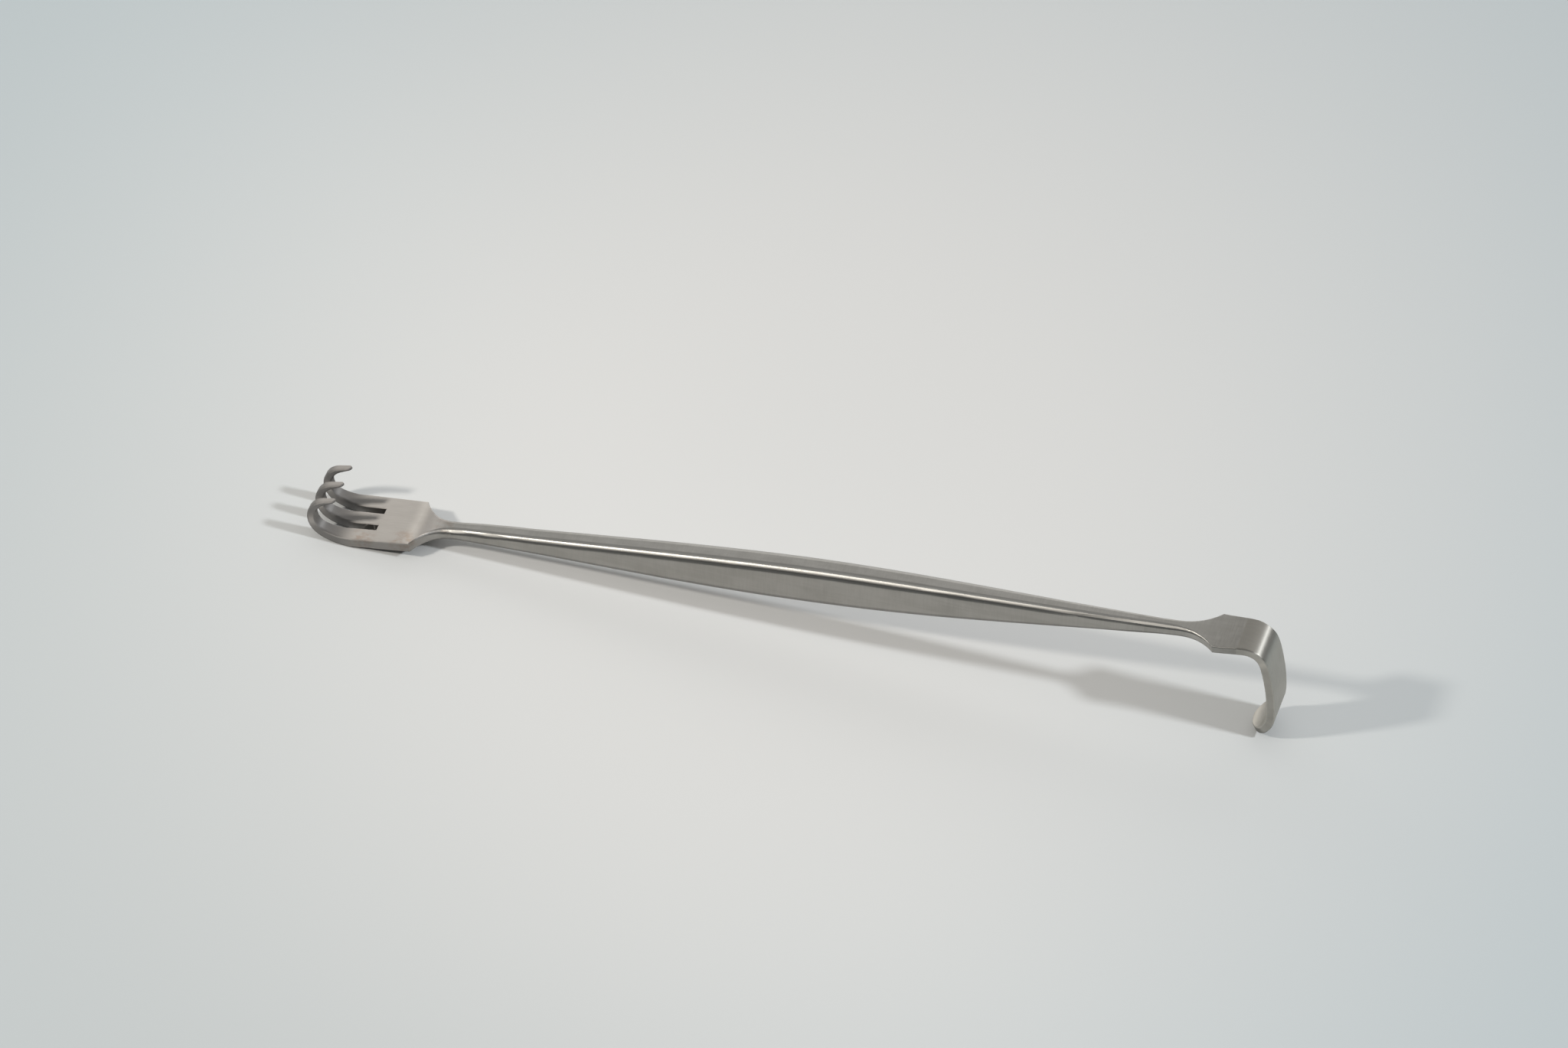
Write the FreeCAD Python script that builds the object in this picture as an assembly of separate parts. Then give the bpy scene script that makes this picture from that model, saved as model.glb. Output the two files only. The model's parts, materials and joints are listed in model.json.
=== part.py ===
# Double-ended hand-held retractor in stainless steel, one forging, in millimetres.
# A three-prong rake curls up at the -X end, and a solid blade turns down at the +X end.
# The shape is laid out along a level handle axis with its middle at X = 0, then tilted until it
# lies on the heel of the rake and the toe of the blade, as it does on a table.
# Y = 0 is its mirror plane, and Z = 0 is the table.

import FreeCAD, Part
import math
import os

Vector = FreeCAD.Vector

# Handle: a spindle with flat sides and rounded long edges, drawn down to a neck at each end
HANDLE_LENGTH = 132.35      # from the shoulders of the rake to the shoulders of the blade
GRIP_HEIGHT = 7.1
GRIP_WIDTH = 4.3
GRIP_EDGE = 1.35            # radius of the long edges at the middle
GRIP_SAG = 0.19             # dip of the centre line between the middle and the blade

# Necks, where the handle is thinnest
RAKE_NECK_HEIGHT = 2.45
RAKE_NECK_WIDTH = 2.75
RAKE_NECK_EDGE = 0.85
RAKE_NECK_RISE = 0.42       # centre of the neck above the handle's axis
BLADE_NECK_HEIGHT = 2.15
BLADE_NECK_WIDTH = 1.9
BLADE_NECK_EDGE = 0.62
BLADE_NECK_RISE = 0.22

# Flares, where a neck widens to a plate in a hollow curve that ends at the shoulders
RAKE_FLARE = 5.8            # length along the handle
BLADE_FLARE = 7.2
NECK_RUN = 12.0             # length over which a neck thins down to its plate

# Rake: a flat plate that curls up, slotted into three prongs
RAKE_WIDTH = 10.2           # at the shoulders
RAKE_SPREAD = 10.6          # where the heel starts
RAKE_THICKNESS = 1.75
RAKE_RISE = 0.1             # centre of the plate above the handle's axis, at the shoulders
RAKE_DROOP = 2.2            # slope of the plate, degrees
RAKE_PLATE = 10.3           # length of the plate, shoulders to heel
SLOT_START = 6.2            # from the shoulders to the closed ends of the slots
HEEL_RADIUS = 8.1           # of the centre line, as the next radii are
HEEL_TURN = 31.0            # degrees
HOOK_RADIUS = 3.28
HOOK_TURN = 135.5           # degrees
TIP_LENGTH = 2.15           # the straight end of each prong
PRONG_WIDTH = 2.64          # where the heel starts
TIP_WIDTH = 0.98
TIP_THICKNESS = 0.36
TIP_SPACING = 3.95          # between the tips

# Blade: a solid plate with a tight bend, a long gentle curve and a toe that turns back in
BLADE_WIDTH = 7.6           # at the shoulders
BLADE_WAIST = 6.85          # at the bend
BLADE_SPREAD = 7.15         # where the toe starts
BLADE_THICKNESS = 1.42
BLADE_RISE = 0.18           # centre of the plate above the handle's axis
BLADE_PLATE = 4.75          # length of the plate, shoulders to bend
BEND_RADIUS = 3.35
BEND_TURN = 80.0            # degrees
BLADE_DROP = 10.6           # length of the gentle curve
BLADE_BOW = 17.0            # turn of the gentle curve, degrees
TOE_RADIUS = 4.86
TOE_TURN = 71.0             # degrees
TOE_ROUND = 3.2             # length of the rounded end

# Softened edges of the plates and prongs, left by grinding
PLATE_EDGE = 0.2
PRONG_EDGE = 0.3

# Shape numbers of the smooth laws below
SPINDLE_POWER = 2.2         # how quickly the handle's height falls away from its middle
WIDTH_POWER = 1.6           # and its width
FLARE_POWER = 2.6           # hollowness of the flares
RUN_POWER = 1.5             # for the thinning of the necks
PRONG_TAPER = 0.9           # for the width of the prongs
PRONG_THINNING = 2.6        # for their thickness

# Rounding of every section's corners: each corner is a chain of short arcs
CORNER_ARCS = 3
EDGE_LIMIT = 0.48           # largest edge radius, as a share of the width or the thickness
ARC_WEIGHT = math.cos(math.pi / 4 / CORNER_ARCS)    # of the point where an arc's tangents meet
CORNER_POINTS = 2 * CORNER_ARCS + 1


class Path:
    """A line in the XZ plane, made of straight and round legs given as (length, turn in degrees)."""

    def __init__(self, x, z, heading, legs):
        self.start = (x, z, math.radians(heading))
        self.legs = [(length, math.radians(turn)) for length, turn in legs]
        self.length = sum(length for length, turn in legs)

    def at(self, distance):
        """The point and the heading at a distance along the path."""
        x, z, heading = self.start
        for length, turn in self.legs:
            run = min(distance, length)
            bend = turn * run / length
            chord = run if abs(bend) < 1e-9 else 2 * run / bend * math.sin(bend / 2)
            x += chord * math.cos(heading + bend / 2)
            z += chord * math.sin(heading + bend / 2)
            heading += bend
            distance -= run
            if distance <= 0:
                break
        return x, z, heading


def arc_leg(radius, turn):
    """A round leg of a given radius; a negative turn is clockwise."""
    return radius * math.radians(abs(turn)), turn


def section(place, y, width, thickness, edge):
    """Points round a rectangle with rounded corners, square to the path, its width along Y.

    Each corner is a row of points: the ends of its arcs and, between them, where their tangents meet.
    """
    x, z, heading = place
    centre = Vector(x, y, z)
    across = Vector(0, 1, 0)
    up = Vector(-math.sin(heading), 0, math.cos(heading))
    radius = min(edge, EDGE_LIMIT * width, EDGE_LIMIT * thickness)
    a = width / 2 - radius
    b = thickness / 2 - radius
    points = []
    for quarter, (i, j) in enumerate([(a, b), (-a, b), (-a, -b), (a, -b)]):
        for step in range(CORNER_POINTS):
            angle = math.pi / 2 * (quarter + step / (CORNER_POINTS - 1))
            reach = radius if step % 2 == 0 else radius / ARC_WEIGHT
            offset = across * (i + reach * math.cos(angle)) + up * (j + reach * math.sin(angle))
            points.append(centre + offset)
    return points


def outline():
    """Numbers of the points that make each arc and each flat of a section, in order round it."""
    groups = []
    for first in range(0, 4 * CORNER_POINTS, CORNER_POINTS):
        last = first + CORNER_POINTS - 1
        groups += [[index, index + 1, index + 2] for index in range(first, last, 2)]
        groups.append([last, (last + 1) % (4 * CORNER_POINTS)])
    return groups


def weights(group):
    return [1.0, ARC_WEIGHT, 1.0] if len(group) == 3 else [1.0, 1.0]


def strip(tracks):
    """The face that runs along two tracks, or along the arc between three."""
    knots = tracks[0].getKnots()
    multiplicities = tracks[0].getMultiplicities()
    poles = [track.getPoles() for track in tracks]
    degree = len(tracks) - 1
    surface = Part.BSplineSurface()
    surface.buildFromPolesMultsKnots(
        poles, [degree + 1, degree + 1], multiplicities, [0.0, 1.0], knots, False, False, degree,
        tracks[0].Degree, [[weight] * len(poles[0]) for weight in weights(tracks)])
    if tracks[0].Degree == 1 and surface.isPlanar(1e-6):
        first, last = poles[0], poles[-1]
        return Part.Face(Part.makePolygon([first[0], first[1], last[1], last[0], first[0]]))
    return surface.toShape()


def cap(points):
    """The flat face that closes an end."""
    edges = []
    for group in outline():
        poles = [points[index] for index in group]
        degree = len(poles) - 1
        curve = Part.BSplineCurve()
        curve.buildFromPolesMultsKnots(
            poles, [degree + 1, degree + 1], [0.0, 1.0], False, degree, weights(group))
        edges.append(curve.toShape())
    return Part.Face(Part.Wire(edges))


def skin(distances, sections):
    """A solid whose surface runs smoothly through sections that stand at distances along a path."""
    tracks = []
    for points in zip(*sections):
        track = Part.BSplineCurve()
        if len(points) == 2:
            track.buildFromPolesMultsKnots(list(points), [2, 2], distances, False, 1)
        else:
            track.interpolate(Points=list(points), Parameters=distances)
        tracks.append(track)
    faces = [strip([tracks[index] for index in group]) for group in outline()]
    shell = Part.Shell(faces + [cap(sections[0]), cap(sections[-1])])
    shell.sewShape()
    solid = Part.Solid(shell)
    if solid.Volume < 0:
        solid.reverse()
    return solid


def blend(start, end, share):
    return start + (end - start) * share


def fade(distance, length, power):
    """1 at the shoulders, falling smoothly to 0 at a length away from them."""
    return max(0.0, 1.0 - distance / length) ** power


def steps(start, end, count):
    """Evenly spaced distances from start to end, both included."""
    return [blend(start, end, index / count) for index in range(count + 1)]


def handle_section(x):
    """The handle's section at x, from the shoulders of the rake to the shoulders of the blade."""
    half = HANDLE_LENGTH / 2
    rake_side = x < 0
    neck_height = RAKE_NECK_HEIGHT if rake_side else BLADE_NECK_HEIGHT
    neck_width = RAKE_NECK_WIDTH if rake_side else BLADE_NECK_WIDTH
    neck_edge = RAKE_NECK_EDGE if rake_side else BLADE_NECK_EDGE
    neck_rise = RAKE_NECK_RISE if rake_side else BLADE_NECK_RISE
    flare = RAKE_FLARE if rake_side else BLADE_FLARE
    plate_width = RAKE_WIDTH if rake_side else BLADE_WIDTH
    plate_thickness = rake_end_thickness() if rake_side else BLADE_THICKNESS
    plate_rise = RAKE_RISE if rake_side else BLADE_RISE

    share = abs(x) / half
    from_shoulder = half - abs(x)
    tall = (1 - share ** 2) ** SPINDLE_POWER
    wide = (1 - share ** 2) ** WIDTH_POWER
    thinning = fade(from_shoulder, NECK_RUN, RUN_POWER)
    widening = fade(from_shoulder, flare, FLARE_POWER)
    height = blend(blend(neck_height, plate_thickness, thinning), GRIP_HEIGHT, tall)
    width = blend(blend(neck_width, GRIP_WIDTH, wide), plate_width, widening)
    edge = blend(blend(neck_edge, GRIP_EDGE, wide), PLATE_EDGE, fade(from_shoulder, flare, 1))
    rise = blend(neck_rise * (1 - tall), plate_rise, thinning)
    if not rake_side:
        rise -= GRIP_SAG * math.sin(math.pi * share)
    return section((x, rise, 0.0), 0, width, height, edge)


def handle():
    """Spindle, necks and flares as one loft."""
    half = HANDLE_LENGTH / 2
    places = [-half + RAKE_FLARE * share for share in (0, 0.06, 0.14, 0.24, 0.36, 0.5, 0.7, 1.0)]
    places += steps(-half + 2 * RAKE_FLARE, half - 2 * BLADE_FLARE, 14)
    places += [half - BLADE_FLARE * share for share in (1.0, 0.7, 0.5, 0.36, 0.24, 0.14, 0.06, 0)]
    return skin([x + half for x in places], [handle_section(x) for x in places])


def rake_path():
    legs = [(RAKE_PLATE, 0), arc_leg(HEEL_RADIUS, -HEEL_TURN), arc_leg(HOOK_RADIUS, -HOOK_TURN)]
    return Path(-HANDLE_LENGTH / 2, RAKE_RISE, 180 + RAKE_DROOP, legs + [(TIP_LENGTH, 0)])


def rake_half_width(distance):
    return blend(RAKE_WIDTH, RAKE_SPREAD, min(1.0, distance / RAKE_PLATE)) / 2


def rake_end_thickness():
    """Thickness of the plate where it is cut square to the handle, at the shoulders."""
    return RAKE_THICKNESS / math.cos(math.radians(RAKE_DROOP))


def rake_plate():
    """The flat of the rake, from the shoulders to the closed ends of the slots."""
    path = rake_path()
    x, z, heading = path.at(0)
    shoulders = section((x, z, math.pi), 0, RAKE_WIDTH, rake_end_thickness(), PLATE_EDGE)
    slot_width = 2 * rake_half_width(SLOT_START)
    slot_ends = section(path.at(SLOT_START), 0, slot_width, RAKE_THICKNESS, PLATE_EDGE)
    return skin([0.0, SLOT_START], [shoulders, slot_ends])


def prong(side):
    """One prong, from the closed ends of the slots to its tip; side is -1, 0 or 1."""
    path = rake_path()
    flat = steps(SLOT_START, RAKE_PLATE, 2)
    curl = steps(RAKE_PLATE, path.length - TIP_LENGTH, 12)[1:]
    tip = [path.length - TIP_LENGTH * share for share in (0.55, 0.25, 0.12, 0.04, 0)]
    places = flat + curl + tip
    sections = []
    for distance in places:
        curled = max(0.0, (distance - RAKE_PLATE) / (path.length - RAKE_PLATE))
        width = blend(PRONG_WIDTH, TIP_WIDTH, curled ** PRONG_TAPER)
        thickness = blend(RAKE_THICKNESS, TIP_THICKNESS, curled ** PRONG_THINNING)
        spacing = blend(rake_half_width(distance) - PRONG_WIDTH / 2, TIP_SPACING, curled)
        rounding = math.sqrt(max(0.1, 1 - max(0.0, 1 - (path.length - distance) * 2 / TIP_WIDTH) ** 2))
        edge = blend(PLATE_EDGE, PRONG_EDGE, min(1.0, 4 * curled))
        sections.append(section(path.at(distance), side * spacing, width * rounding, thickness, edge))
    return skin(places, sections)


def blade():
    """Plate, bend, gentle curve and toe."""
    legs = [(BLADE_PLATE, 0), arc_leg(BEND_RADIUS, -BEND_TURN), (BLADE_DROP, -BLADE_BOW)]
    path = Path(HANDLE_LENGTH / 2, BLADE_RISE, 0, legs + [arc_leg(TOE_RADIUS, -TOE_TURN)])
    bend_start = BLADE_PLATE
    bend_end = bend_start + BEND_RADIUS * math.radians(BEND_TURN)
    toe_start = bend_end + BLADE_DROP
    round_start = path.length - TOE_ROUND
    places = [0, bend_start / 2]
    places += steps(bend_start, bend_end, 6)
    places += steps(bend_end, toe_start, 4)[1:]
    places += steps(toe_start, round_start, 3)[1:]
    places += [round_start + TOE_ROUND * share for share in (0.3, 0.52, 0.7, 0.83, 0.92, 0.98)]
    middle = (bend_start + bend_end) / 2
    sections = []
    for distance in places:
        if distance < middle:
            width = blend(BLADE_WIDTH, BLADE_WAIST, distance / middle)
        else:
            width = blend(BLADE_WAIST, BLADE_SPREAD, min(1.0, (distance - middle) / (toe_start - middle)))
        rounding = math.sqrt(1 - max(0.0, (distance - round_start) / TOE_ROUND) ** 2)
        sections.append(section(path.at(distance), 0, width * rounding, BLADE_THICKNESS, PLATE_EDGE))
    return skin(places, sections)


def lowest(shape, tilt):
    """Height of the lowest point of a shape that is tilted about the Y axis, in degrees."""
    turned = shape.copy()
    turned.rotate(Vector(0, 0, 0), Vector(0, 1, 0), -tilt)
    return turned.optimalBoundingBox(False).ZMin


def resting_tilt(heel, toe):
    """The tilt at which the heel of the rake and the toe of the blade are level with each other."""
    low, high = 0.0, 30.0
    while high - low > 1e-4:
        tilt = (low + high) / 2
        if lowest(heel, tilt) > lowest(toe, tilt):
            low = tilt
        else:
            high = tilt
    return (low + high) / 2


def retractor():
    heel = prong(0)
    solid_blade = blade()
    whole = handle().fuse([rake_plate(), heel, prong(-1), prong(1), solid_blade])
    whole.rotate(Vector(0, 0, 0), Vector(0, 1, 0), -resting_tilt(heel, solid_blade))
    box = whole.optimalBoundingBox(False)
    whole.translate(Vector(-box.Center.x, -box.Center.y, -box.ZMin))
    return whole.Solids[0]


os.makedirs("parts", exist_ok=True)
part = retractor()
part.exportStep("parts/retractor.step")
box = part.optimalBoundingBox(False)
print("retractor", round(box.XLength, 2), "x", round(box.YLength, 2), "x", round(box.ZLength, 2), "mm")
print("volume", round(part.Volume, 1), "mm3, valid", part.isValid(), "solids", len(part.Solids))
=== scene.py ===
# %% [markdown]
# # A hand-held retractor in satin stainless steel
#
# The object is one forging: a slender handle with a small curled rake at one end and a right-angled
# blade at the other. Its solid arrives already modelled, lying on the table as it would at rest. This
# lesson gives it its steel, a pale table, a camera and the two lamps that its shadows tell of.

# %% Load the solid
import json
import math

import bpy
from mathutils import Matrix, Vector

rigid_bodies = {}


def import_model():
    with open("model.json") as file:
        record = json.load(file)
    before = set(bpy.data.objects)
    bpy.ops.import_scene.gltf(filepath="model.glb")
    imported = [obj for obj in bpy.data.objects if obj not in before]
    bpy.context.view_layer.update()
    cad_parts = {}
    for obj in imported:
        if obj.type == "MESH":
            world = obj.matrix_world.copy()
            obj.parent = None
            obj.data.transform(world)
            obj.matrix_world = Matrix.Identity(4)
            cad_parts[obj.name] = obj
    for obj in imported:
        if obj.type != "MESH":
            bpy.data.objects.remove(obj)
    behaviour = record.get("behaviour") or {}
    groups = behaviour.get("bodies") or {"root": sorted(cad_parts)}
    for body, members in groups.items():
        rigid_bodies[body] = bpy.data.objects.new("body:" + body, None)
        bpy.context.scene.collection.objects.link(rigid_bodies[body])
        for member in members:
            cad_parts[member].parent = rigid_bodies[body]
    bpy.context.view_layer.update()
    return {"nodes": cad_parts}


bpy.ops.object.select_all(action="SELECT")
bpy.ops.object.delete()

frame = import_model()
steel_body = frame["nodes"]["retractor"]

# %% Units and colours
MM = 0.001
scene = bpy.context.scene
scene.view_settings.view_transform = "Standard"


def rgb(hex_code):
    """An sRGB hex colour such as C8C4BE as a linear colour with alpha."""
    def linear(value):
        return value / 12.92 if value <= 0.04045 else ((value + 0.055) / 1.055) ** 2.4
    return [linear(int(hex_code[i:i + 2], 16) / 255) for i in (0, 2, 4)] + [1.0]


print("the middle grey 808080 is", round(rgb("808080")[0], 3), "in linear light")

# %% Materials and nodes
def new_material(name):
    """A material with an empty node tree."""
    material = bpy.data.materials.new(name)
    material.use_nodes = True
    material.node_tree.nodes.clear()
    return material, material.node_tree


def add(tree, kind, settings=None, **inputs):
    """Adds a node, sets its properties, and gives each named input a value or a link.

    A node that is given as a value stands for its first live output. Where the inputs of a node share
    one name, _0 and _1 are the first and the second of its live inputs.
    """
    node = tree.nodes.new("ShaderNode" + kind)
    for name, value in (settings or {}).items():
        setattr(node, name, value)
    live = [socket for socket in node.inputs if socket.enabled]
    for name, value in inputs.items():
        if name[0] == "_":
            socket = live[int(name[1:])]
        else:
            socket = next(socket for socket in live if socket.name == name.replace("_", " "))
        if isinstance(value, bpy.types.Node):
            value = next(output for output in value.outputs if output.enabled)
        if isinstance(value, bpy.types.NodeSocket):
            tree.links.new(value, socket)
        else:
            socket.default_value = value
    return node


SMOOTH = {"interpolation_type": "SMOOTHSTEP"}
TIMES = {"operation": "MULTIPLY"}
MINUS = {"operation": "SUBTRACT"}
PLUS = {"operation": "ADD"}
TIMES_PLUS = {"operation": "MULTIPLY_ADD"}
LARGER = {"operation": "MAXIMUM"}
DISTANCE = {"operation": "DISTANCE"}
COLOURS = {"data_type": "RGBA"}
print("masks are joined by", [way["operation"] for way in (TIMES, MINUS, PLUS, TIMES_PLUS, LARGER)])

# %% [markdown]
# ## The steel
#
# Surgical instruments are martensitic stainless steel. After forging they are ground on a fine belt
# and satin finished. The bright lines on this one suggest which way: across the handle and the plate
# of the blade, and lengthwise on the rake and where the blade bends down. The long rounded edges and
# the bent part are smoother, as if buffed once more.
# Scratches that all run one way spread a reflection sideways to them. That is why a small lamp draws
# one bright line along the whole handle, and why another crosses the bend of the blade. The scratches
# could be modelled, or drawn as a bump, but they are far too fine for either. An anisotropic metal
# shader does the same with two numbers, a roughness and a direction. So the steel starts with masks
# that say where each finish lies.

# %% Where each finish lies
RAKE_END = -62.45 * MM      # shoulders of the rake
CURL_START = -71.5 * MM     # beyond this the prongs run over the heel and curl back
BEND_START = 73.8 * MM      # where the plate of the blade starts to bend down
FINISH_FADE = 8.0 * MM      # over which the grinding of the rake turns into that of the handle

steel, steel_nodes = new_material("satin_stainless_steel")
place = add(steel_nodes, "TexCoord")
along = add(steel_nodes, "SeparateXYZ", Vector=place.outputs["Object"]).outputs["X"]
fade_start = RAKE_END - FINISH_FADE / 4
on_rake = add(steel_nodes, "MapRange", SMOOTH, Value=along, From_Min=fade_start,
              From_Max=fade_start + FINISH_FADE, To_Min=1.0, To_Max=0.0)
# the curled prongs, which the colour below also paints darker: painted shade
on_prongs = add(steel_nodes, "MapRange", SMOOTH, Value=along, From_Min=CURL_START - 3.5 * MM,
                From_Max=CURL_START, To_Min=1.0, To_Max=0.0)
# a sharp change, because scratches that turned slowly would draw a bright line of their own
on_bend = add(steel_nodes, "MapRange", SMOOTH, Value=along, From_Min=BEND_START - 0.9 * MM,
              From_Max=BEND_START - 0.84 * MM)
off_rake = add(steel_nodes, "Math", MINUS, _0=1.0, _1=on_rake)
on_handle = add(steel_nodes, "Math", MINUS, _0=off_rake, _1=on_bend)     # and on the blade's plate
print("ground across over", round((BEND_START - RAKE_END) / MM, 2), "mm of the length")

# %% Edges
facing = add(steel_nodes, "SeparateXYZ", Vector=place.outputs["Normal"])
sideways = add(steel_nodes, "Math", {"operation": "ABSOLUTE"}, _0=facing.outputs["Y"])
# the rounded edges face between up and sideways: neither the top flat nor the side flats
off_top = add(steel_nodes, "MapRange", SMOOTH, Value=sideways, From_Min=0.03, From_Max=0.25)
off_side = add(steel_nodes, "MapRange", SMOOTH, Value=sideways, From_Min=0.94, From_Max=0.985,
               To_Min=1.0, To_Max=0.0)
edges = add(steel_nodes, "Math", TIMES, _0=off_top, _1=off_side)
# the foot of each upper edge, just above the side flat, where the steel mirrors the dark of the room;
# that dark reflection is painted into the colour
foot = on_handle
for value, low, high, start in ((sideways, 0.72, 0.84, 0.0), (sideways, 0.962, 0.992, 1.0),
                                (facing.outputs["Z"], 0.05, 0.2, 0.0)):
    mask = add(steel_nodes, "MapRange", SMOOTH, Value=value, From_Min=low, From_Max=high,
               To_Min=start, To_Max=1.0 - start)
    foot = add(steel_nodes, "Math", TIMES, _0=foot, _1=mask)
# painted shade: steel that faces down is painted darker in the colour below
under = add(steel_nodes, "MapRange", SMOOTH, Value=facing.outputs["Z"], From_Min=-0.3,
            From_Max=-0.08, To_Min=1.0, To_Max=0.0)
print("the foot of an edge faces", round(math.degrees(math.asin(0.84))), "to",
      round(math.degrees(math.asin(0.962))), "degrees from straight up")

# %% Grain
GRAIN = 0.22            # mm between scratches; the real ones, 0.02 mm apart, are too fine to show
GRAIN_REACH = 3.0       # mm that a scratch runs


def patches(spacing, detail=3.0):
    """Noise in the steel, with patches so many millimetres apart along X, Y and Z."""
    spread = add(steel_nodes, "Mapping", Vector=place.outputs["Object"],
                 Scale=[1 / (step * MM) for step in spacing])
    return add(steel_nodes, "TexNoise", Vector=spread, Scale=1.0, Detail=detail, Roughness=0.6)


cross_grain = patches((GRAIN, GRAIN_REACH, GRAIN_REACH))
long_grain = patches((GRAIN_REACH, GRAIN, GRAIN_REACH))
grain = add(steel_nodes, "Mix", {"data_type": "FLOAT"}, Factor=on_handle, A=long_grain, B=cross_grain)
print("grain is drawn", round(GRAIN / 0.02), "times as coarse as it is")

# %% [markdown]
# ## Wear in the steel
#
# A polishing mop leaves duller and brighter patches, drawn out along the handle. Steam sterilising
# leaves a faint brown in the corners, where water dries last, and pits the size of a pinprick where
# the steel has begun to corrode. Painted maps could hold all this, but they would need the surface
# laid out flat. Noise and a few spots at given points of the solid need no map.

# %% Clouding and stains
CLOUD = 7.0                     # mm between the patches that a polishing mop leaves
STREAK = (14.0, 1.1, 0.7)       # mm between streaks along, across and up the handle
MOTTLE = (1.6, 1.2, 1.2)        # mm between the patches of a stain
# centre, radius and blur in mm: by a shoulder of the rake, beside a slot, and on the neck
STAINS = (((-63.6, -4.2, 2.9), 0.7, 2.4), ((-70.5, -4.6, 2.2), 0.5, 2.6), ((-58.5, 0.0, 4.6), 0.3, 2.6))


def spot(centre, radius, blur):
    """1 within a radius of a point of the solid, in millimetres, fading to 0 over the blur."""
    away = add(steel_nodes, "VectorMath", DISTANCE, _0=place.outputs["Object"],
               _1=[value * MM for value in centre])
    return add(steel_nodes, "MapRange", SMOOTH, Value=away, From_Min=radius * MM,
               From_Max=(radius + blur) * MM, To_Min=1.0, To_Max=0.0)


clouds = patches((CLOUD, CLOUD / 2, CLOUD / 2))
streaked = add(steel_nodes, "Math", PLUS, _0=clouds, _1=patches(STREAK, 2.0))
dullness = add(steel_nodes, "MapRange", SMOOTH, Value=streaked, From_Min=0.85, From_Max=1.2, To_Max=0.55)
stained = 0.0
for centre, radius, blur in STAINS:
    stained = add(steel_nodes, "Math", LARGER, _0=stained, _1=spot(centre, radius, blur))
mottle = add(steel_nodes, "MapRange", SMOOTH, Value=patches(MOTTLE), From_Min=0.38, From_Max=0.62,
             To_Max=0.5)
stained = add(steel_nodes, "Math", TIMES, _0=stained, _1=mottle)
print(len(STAINS), "faint stains")

# %% Pits
PIT_SPACING = 1.7       # mm between the smallest corrosion pits, where there are any
PIT_GROUPS = 2.4        # mm between the places that have them, on the bent part of the blade
LARGE_PIT = ((-60.9, -0.6, 4.35), 0.08, 0.16)    # centre, radius and blur in mm

pit_place = add(steel_nodes, "Mapping", Vector=place.outputs["Object"],
                Scale=[1 / (PIT_SPACING * MM)] * 3)
cells = add(steel_nodes, "TexVoronoi", Vector=pit_place, Scale=1.0)
small_pits = add(steel_nodes, "MapRange", SMOOTH, Value=cells, From_Min=0.03, From_Max=0.08,
                 To_Min=1.0, To_Max=0.0)
pitted = add(steel_nodes, "MapRange", SMOOTH, Value=patches([PIT_GROUPS] * 3), From_Min=0.45,
             From_Max=0.55)
for mask in (on_bend, pitted):
    small_pits = add(steel_nodes, "Math", TIMES, _0=small_pits, _1=mask)
pits = add(steel_nodes, "Math", LARGER, _0=small_pits, _1=spot(*LARGE_PIT))
print("a small pit is about", round(2 * 0.05 * PIT_SPACING, 2), "mm across")

# %% [markdown]
# ## The colour and the shine
#
# Steel's own colour is a light, nearly neutral grey, and most of what the eye sees is the room in it.
# The rake is a little lighter, and the handle and blade a little warmer. The edges that face down and
# the foot of each edge get painted shade, darker than the room alone makes them; the plate of the blade
# gets a painted dark reflection towards its bend, the curled prongs painted shade, and the rake's
# shoulders painted light over a fold. Each of these is one layer laid over the last, so each can be
# changed alone. The roughness is a sum of the same masks, from 0.7 on the dull rake to about 0.4 on the
# buffed edges.

# %% Colour
# painted light: on the real one the rake's top runs into the handle without a fold, so a lighter
# colour is painted over the shade of the fold that the solid has there
shoulder_start = add(steel_nodes, "MapRange", SMOOTH, Value=along, From_Min=RAKE_END - 0.2 * MM,
                     From_Max=RAKE_END + 1.6 * MM)
shoulder_end = add(steel_nodes, "MapRange", SMOOTH, Value=along, From_Min=RAKE_END + 2.0 * MM,
                   From_Max=RAKE_END + 5.5 * MM, To_Min=1.0, To_Max=0.0)
upwards = add(steel_nodes, "MapRange", SMOOTH, Value=facing.outputs["Z"], From_Min=0.6, From_Max=0.9)
shoulders = add(steel_nodes, "Math", TIMES, _0=shoulder_start, _1=shoulder_end)
shoulders = add(steel_nodes, "Math", TIMES, _0=shoulders, _1=upwards)
# painted reflection: the plate of the blade is painted darker towards its bend, for a dark part of
# the room mirrored in it, which this room lacks; the plate of the blade looks darker towards its
# bend; that may be a dark part of the room in it, which this room lacks, so it is drawn by colour
plate_start = add(steel_nodes, "MapRange", SMOOTH, Value=along, From_Min=BEND_START - 9.0 * MM,
                  From_Max=BEND_START - 0.5 * MM)
plate_end = add(steel_nodes, "MapRange", SMOOTH, Value=along, From_Min=BEND_START - 0.5 * MM,
                From_Max=BEND_START + 2.5 * MM, To_Min=1.0, To_Max=0.0)
painted_dark_reflection = add(steel_nodes, "Math", TIMES, _0=plate_start, _1=plate_end)

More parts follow.
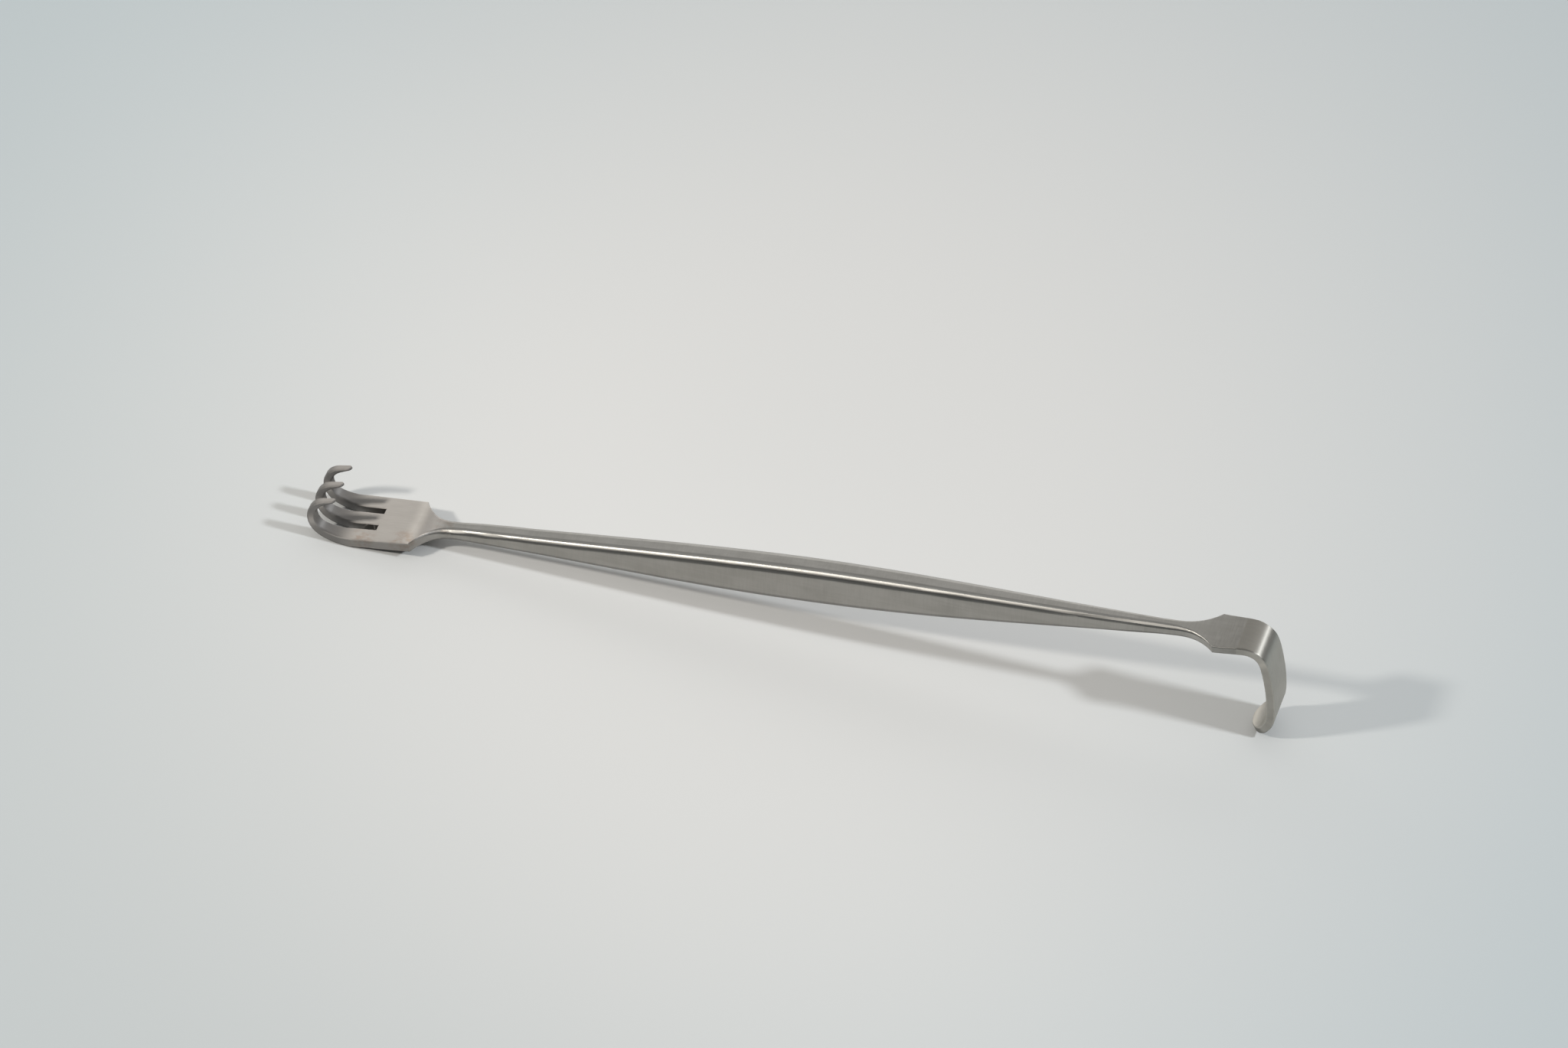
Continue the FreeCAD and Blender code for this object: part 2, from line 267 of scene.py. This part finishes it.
# where a layer lies, how much it covers there, and its colour
LAYERS = ((on_rake, 0.8, "BAB6B2"), (off_rake, 0.5, "B8B4AC"), (stained, 1.0, "A08C7C"),
          (on_bend, 0.6, "BAB6AD"), (shoulders, 0.65, "DDD7D1"), (painted_dark_reflection, 0.45, "8C8983"),
          (on_prongs, 0.6, "9A9795"), (under, 0.6, "5C5B5A"), (foot, 0.8, "50504F"),
          (pits, 0.75, "3B3733"))
colour = add(steel_nodes, "Mix", COLOURS, Factor=dullness, A=rgb("B5B4B2"), B=rgb("A09F9C"))
for where, cover, hex_code in LAYERS:
    share = add(steel_nodes, "Math", TIMES, _0=where, _1=cover)
    colour = add(steel_nodes, "Mix", COLOURS, Factor=share, A=colour, B=rgb(hex_code))
print(len(LAYERS), "layers of colour over the bare steel")

# %% Roughness and relief
RAKE_ROUGHNESS = 0.7
PRONG_ROUGHNESS = 0.12      # more than on the rest of the rake
BEND_ROUGHNESS = 0.44
FLAT_ROUGHNESS = 0.56
EDGE_ROUGHNESS = 0.42
RELIEF = 0.004              # mm from the top of the grain to its bottom
PIT_DEPTH = 3.0             # times the depth of the grain

buffed = add(steel_nodes, "MapRange", Value=edges, To_Min=FLAT_ROUGHNESS, To_Max=EDGE_ROUGHNESS)
rough = add(steel_nodes, "MapRange", Value=grain, From_Min=0.3, From_Max=0.7, To_Min=-0.05, To_Max=0.05)
uneven = add(steel_nodes, "MapRange", Value=clouds, From_Min=0.3, From_Max=0.7, To_Min=-0.02,
             To_Max=0.02)
for where, value in ((uneven, 1.0), (on_rake, RAKE_ROUGHNESS), (on_prongs, PRONG_ROUGHNESS),
                     (on_bend, BEND_ROUGHNESS), (on_handle, buffed)):
    rough = add(steel_nodes, "Math", TIMES_PLUS, _0=where, _1=value, _2=rough)
height = add(steel_nodes, "Math", TIMES_PLUS, _0=pits, _1=-PIT_DEPTH, _2=grain)
relief = add(steel_nodes, "Bump", Strength=0.07, Distance=RELIEF * MM, Height=height)
print("roughness runs from", EDGE_ROUGHNESS, "on the edges to", RAKE_ROUGHNESS + PRONG_ROUGHNESS,
      "on the prongs")

# %% The steel's shader
ANISOTROPY = 0.85       # a spread four times as wide across the scratches as along them
ALONG = (1.0, 0.0, 0.0)
ACROSS = (0.0, 1.0, 0.0)

spread_way = add(steel_nodes, "Mix", {"data_type": "VECTOR"}, Factor=on_handle, A=ACROSS, B=ALONG)
shader = add(steel_nodes, "BsdfPrincipled", Base_Color=colour, Metallic=1.0, Roughness=rough,
             Anisotropic=ANISOTROPY, Tangent=spread_way, Normal=relief)
add(steel_nodes, "OutputMaterial", Surface=shader)
steel_body.data.materials.clear()
steel_body.data.materials.append(steel)
print(steel.name, "has", len(steel_nodes.nodes), "nodes")

# %% [markdown]
# ## The table
#
# The instrument lies on a pale sweep of matt board. A plane is enough, as long as it runs far past
# the view on every side, because the underside of the steel mirrors it. The board's white is painted a
# little cooler and darker away from the middle, as in the photograph: a painted falloff of the light.
# The lamps could do that too, but then they couldn't stay where the shadows put them.

# %% Table
TABLE_SIZE = 3.0                    # m
LIGHTEST = (-0.008, 0.018, 0.0)     # m, the middle of the painted light area, as flattened below
FLATTENED = (1.0, 0.72, 1.0)        # the light area is longer front to back than side to side
TO_CORNER = (-0.7, -0.7, 0.0)       # the way to the corner painted darkest, in front on the left

bpy.ops.object.select_all(action="DESELECT")
bpy.ops.mesh.primitive_plane_add(size=TABLE_SIZE, location=(0, 0, 0))
table = bpy.context.object
table.name = "table"
board, board_nodes = new_material("matt_white_board")
place = add(board_nodes, "TexCoord").outputs["Object"]
flattened = add(board_nodes, "Mapping", Vector=place, Scale=FLATTENED)
away = add(board_nodes, "VectorMath", DISTANCE, _0=flattened, _1=LIGHTEST)
# painted light and shade: the board is painted lighter in the middle, cooler and darker away from it,
# and darker still towards the front left corner
far = add(board_nodes, "MapRange", SMOOTH, Value=away, From_Min=0.03, From_Max=0.19)
colour = add(board_nodes, "Mix", COLOURS, Factor=far, A=rgb("E2E1DF"), B=rgb("C5CED1"))
cornerwards = add(board_nodes, "VectorMath", {"operation": "DOT_PRODUCT"}, _0=place, _1=TO_CORNER)
corner = add(board_nodes, "MapRange", SMOOTH, Value=cornerwards, From_Max=0.16, To_Max=0.5)
colour = add(board_nodes, "Mix", COLOURS, Factor=corner, A=colour, B=rgb("A9ADAE"))
shader = add(board_nodes, "BsdfPrincipled", Base_Color=colour, Roughness=0.9, Specular_IOR_Level=0.2)
add(board_nodes, "OutputMaterial", Surface=shader)
table.data.materials.append(board)
print("table", [round(side, 2) for side in table.dimensions[:2]], "m")

# %% [markdown]
# ## The camera
#
# The photograph was taken with a long lens from the front and above. Its height, side angle and
# distance were worked out from the outline of the handle and its two ends. A short lens close by
# could frame the same width, but it would make the nearer end of the handle look larger.

# %% Camera
CAMERA_SIDE = math.radians(17.364)      # turned from straight in front towards the blade
CAMERA_HEIGHT = math.radians(44.0)      # above the table
CAMERA_DISTANCE = 1467.64 * MM
CAMERA_AIM = Vector((-7.85, 20.474, 0.0)) * MM
FOCAL_PIXELS = 12000
PHOTO_WIDTH = 2048
SENSOR = 36.0                           # mm

back = Vector((math.sin(CAMERA_SIDE) * math.cos(CAMERA_HEIGHT),
               -math.cos(CAMERA_SIDE) * math.cos(CAMERA_HEIGHT), math.sin(CAMERA_HEIGHT)))
bpy.ops.object.camera_add(location=CAMERA_AIM + back * CAMERA_DISTANCE,
                          rotation=back.to_track_quat("Z", "Y").to_euler())
camera = bpy.context.object
camera.name = "camera"
camera.data.sensor_width = SENSOR
camera.data.lens = FOCAL_PIXELS / PHOTO_WIDTH * SENSOR
camera.data.clip_end = 10.0
scene.camera = camera
print("camera lens", round(camera.data.lens, 1), "mm")

# %% [markdown]
# ## The lamps
#
# Two shadows fall from every prong, one to the left and one to the right, so there are two lamps: a
# large one far off on the right, and a small one near by on the left in front. Their directions come
# from where the shadows of the prongs and the blade end, and their sizes from how blurred those are.

# %% Lamps
CENTRE = Vector((0, 0, 5)) * MM


def lamp(name, direction, distance, size, colour, share):
    """A round lamp that gives a white table this share of its full brightness."""
    way = Vector(direction).normalized()
    bpy.ops.object.light_add(type="AREA", location=CENTRE + way * distance,
                             rotation=way.to_track_quat("Z", "Y").to_euler())
    light = bpy.context.object
    light.name = name
    light.data.shape = "DISK"
    light.data.size = size
    light.data.color = rgb(colour)[:3]
    light.data.energy = share * math.pi * math.pi * distance ** 2 / way.z
    print(name, "energy", round(light.data.energy, 3), "W")


# direction, distance, size (metres), colour, and share of the light on the table
lamp("right_lamp", (0.74, -0.02, 0.625), 2.0, 0.2, "F6FBFF", 0.315)
lamp("left_lamp", (-0.402, -0.240, 0.345), 0.57, 0.055, "FFFBF4", 0.262)

# %% [markdown]
# ## The room
#
# Metal shows what stands around it, and the lamps are only two points of that. The room fills in the
# rest of the light, and gives the edges of the handle their dark and light bands. Walls and a ceiling
# could be built, but a background whose brightness changes with direction is as good and can't get in
# the lamps' way. It is light behind the table, half as light overhead, and dark in front.

# %% Room
ROOM_LIGHT = 1.08
BLUE_SHARE = 0.985          # the room is a little warm
# brightness from the wall behind (0), over the ceiling (0.5), to the room in front (1)
BACK_TO_FRONT = ((0.0, 0.85), (0.17, 1.0), (0.225, 0.95), (0.255, 0.66), (0.29, 0.3), (0.36, 0.24),
                 (0.43, 0.32), (0.5, 0.4), (0.6, 0.44), (0.68, 0.4), (0.75, 0.26), (0.8, 0.1),
                 (0.88, 0.03), (1.0, 0.02))

world = bpy.data.worlds.new("room")
scene.world = world
world.use_nodes = True
room_nodes = world.node_tree
room_nodes.nodes.clear()
way = add(room_nodes, "SeparateXYZ", Vector=add(room_nodes, "TexCoord").outputs["Generated"])
frontwards = add(room_nodes, "Math", TIMES, _0=way.outputs["Y"], _1=-1.0)
turn = add(room_nodes, "Math", {"operation": "ARCTAN2"}, _0=frontwards, _1=way.outputs["Z"])
turned = add(room_nodes, "MapRange", Value=turn, From_Min=-math.pi / 2, From_Max=math.pi / 2)
sweep = add(room_nodes, "ValToRGB", Fac=turned)
stops = sweep.color_ramp.elements
stops.remove(stops[1])
for position, level in BACK_TO_FRONT:
    stop = stops.new(position) if position else stops[0]
    stop.color = (level, level, level * BLUE_SHARE, 1.0)
print("the room has", len(stops), "levels of brightness from back to front")

# %% The dim wall on the right
rightwards = add(room_nodes, "MapRange", SMOOTH, Value=way.outputs["X"], From_Min=0.1, From_Max=0.6)
low_down = add(room_nodes, "MapRange", SMOOTH, Value=way.outputs["Z"], From_Min=0.35, From_Max=0.75,
               To_Min=0.75, To_Max=0.0)
right_wall = add(room_nodes, "Math", TIMES, _0=rightwards, _1=low_down)
dimmed = add(room_nodes, "Mix", COLOURS, Factor=right_wall, A=sweep, B=rgb("2E2E2E"))
background = add(room_nodes, "Background", Color=dimmed, Strength=ROOM_LIGHT)
add(room_nodes, "OutputWorld", Surface=background)
print("the room's strength is", background.inputs["Strength"].default_value)
